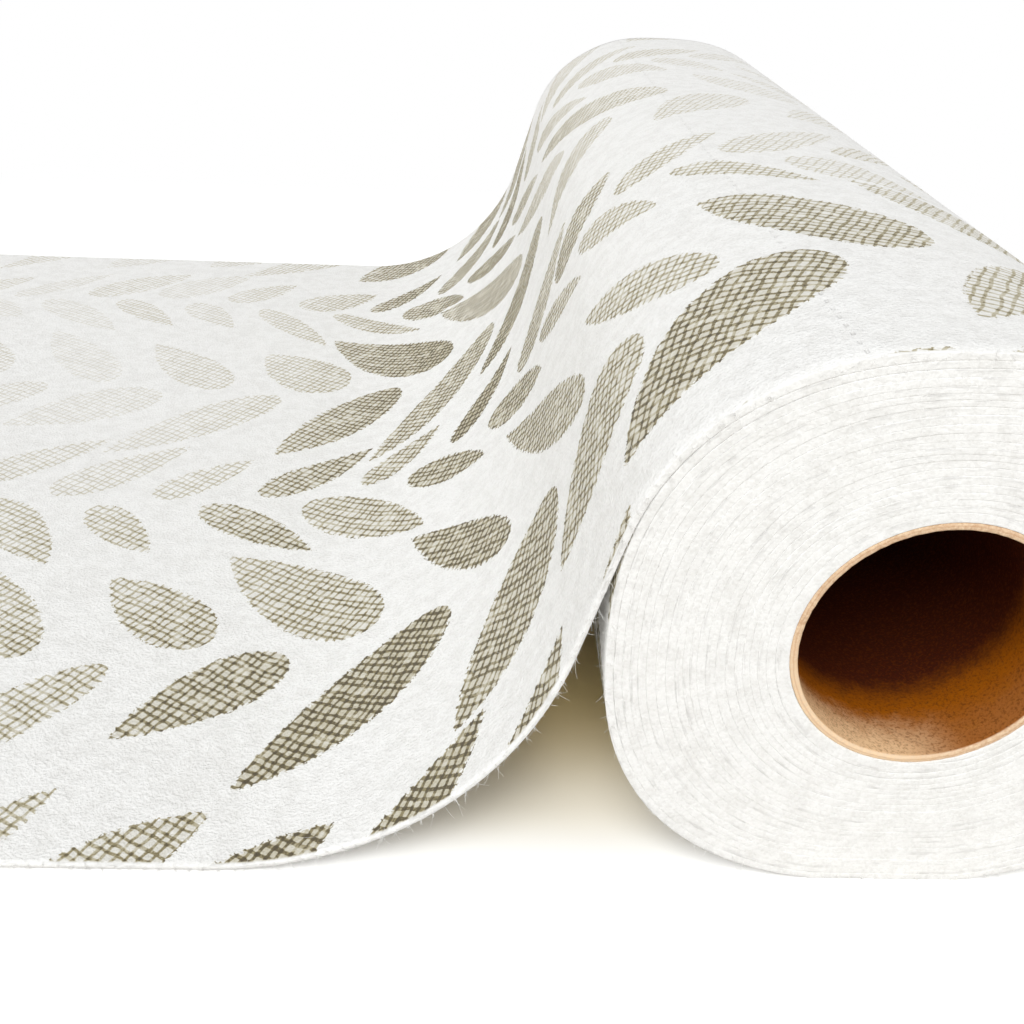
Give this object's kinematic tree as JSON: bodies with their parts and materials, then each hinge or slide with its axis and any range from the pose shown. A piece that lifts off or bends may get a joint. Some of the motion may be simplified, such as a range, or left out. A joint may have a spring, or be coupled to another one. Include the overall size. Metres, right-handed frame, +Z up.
{
  "type": "paper towel roll",
  "caption": "Printed reusable towel wound in a spiral on a card tube, lying on its side with a settled flat underneath, its free end drawn off over the roll and laid flat on the floor.",
  "frame": {"origin": "on the tube's axis at mid-width", "axes": "+Y along the tube's axis, away from the end that faces the viewer, +Z up, the loose tail towards -X"},
  "size_m": [0.3164, 0.305, 0.0894],
  "materials": {
    "towel": "soft felted off-white towel with a taupe leaf print on its outer face",
    "core_card": "brown kraft card, wound in a helix"
  },
  "bodies": {
    "root": {"towel_web": "towel", "core_tube": "core_card"}
  },
  "joints": []
}
